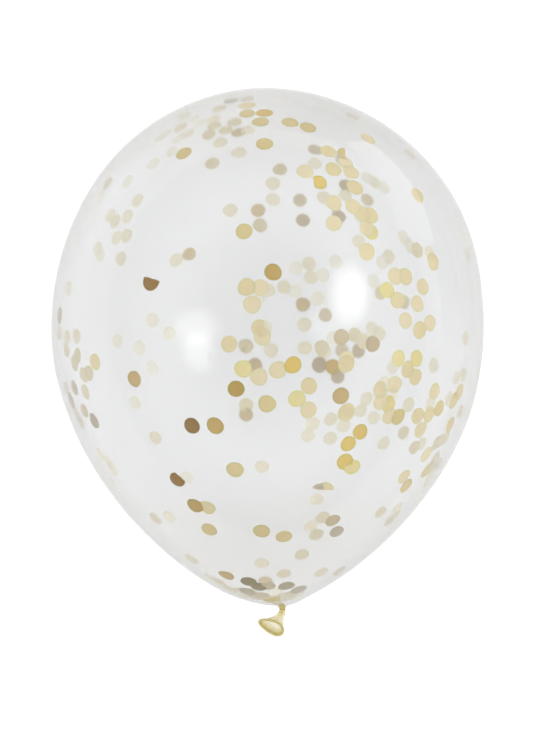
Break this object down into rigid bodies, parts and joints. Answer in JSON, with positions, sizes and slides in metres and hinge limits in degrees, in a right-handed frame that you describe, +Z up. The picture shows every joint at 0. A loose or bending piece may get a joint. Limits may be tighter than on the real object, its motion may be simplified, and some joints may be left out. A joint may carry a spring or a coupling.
{
  "type": "clear confetti balloon",
  "caption": "Clear latex balloon blown up to a pear shape and lying on its side, twisted shut at the neck, with a flared rolled lip and small foil confetti inside.",
  "frame": {"origin": "on the surface the balloon lies on, under the middle of its whole length and width", "axes": "+Y along the balloon's axis from the neck to the crown, +Z up, +X to the right seen from above with the crown away"},
  "size_m": [0.28, 0.3544, 0.2786],
  "materials": {
    "latex": "clear, glossy, slightly milky; yellower where the neck and lip are thick",
    "confetti": "satin metallic film cut in small discs, in golds, bronze and silver"
  },
  "bodies": {
    "root": {"balloon": "latex"}
  },
  "joints": []
}
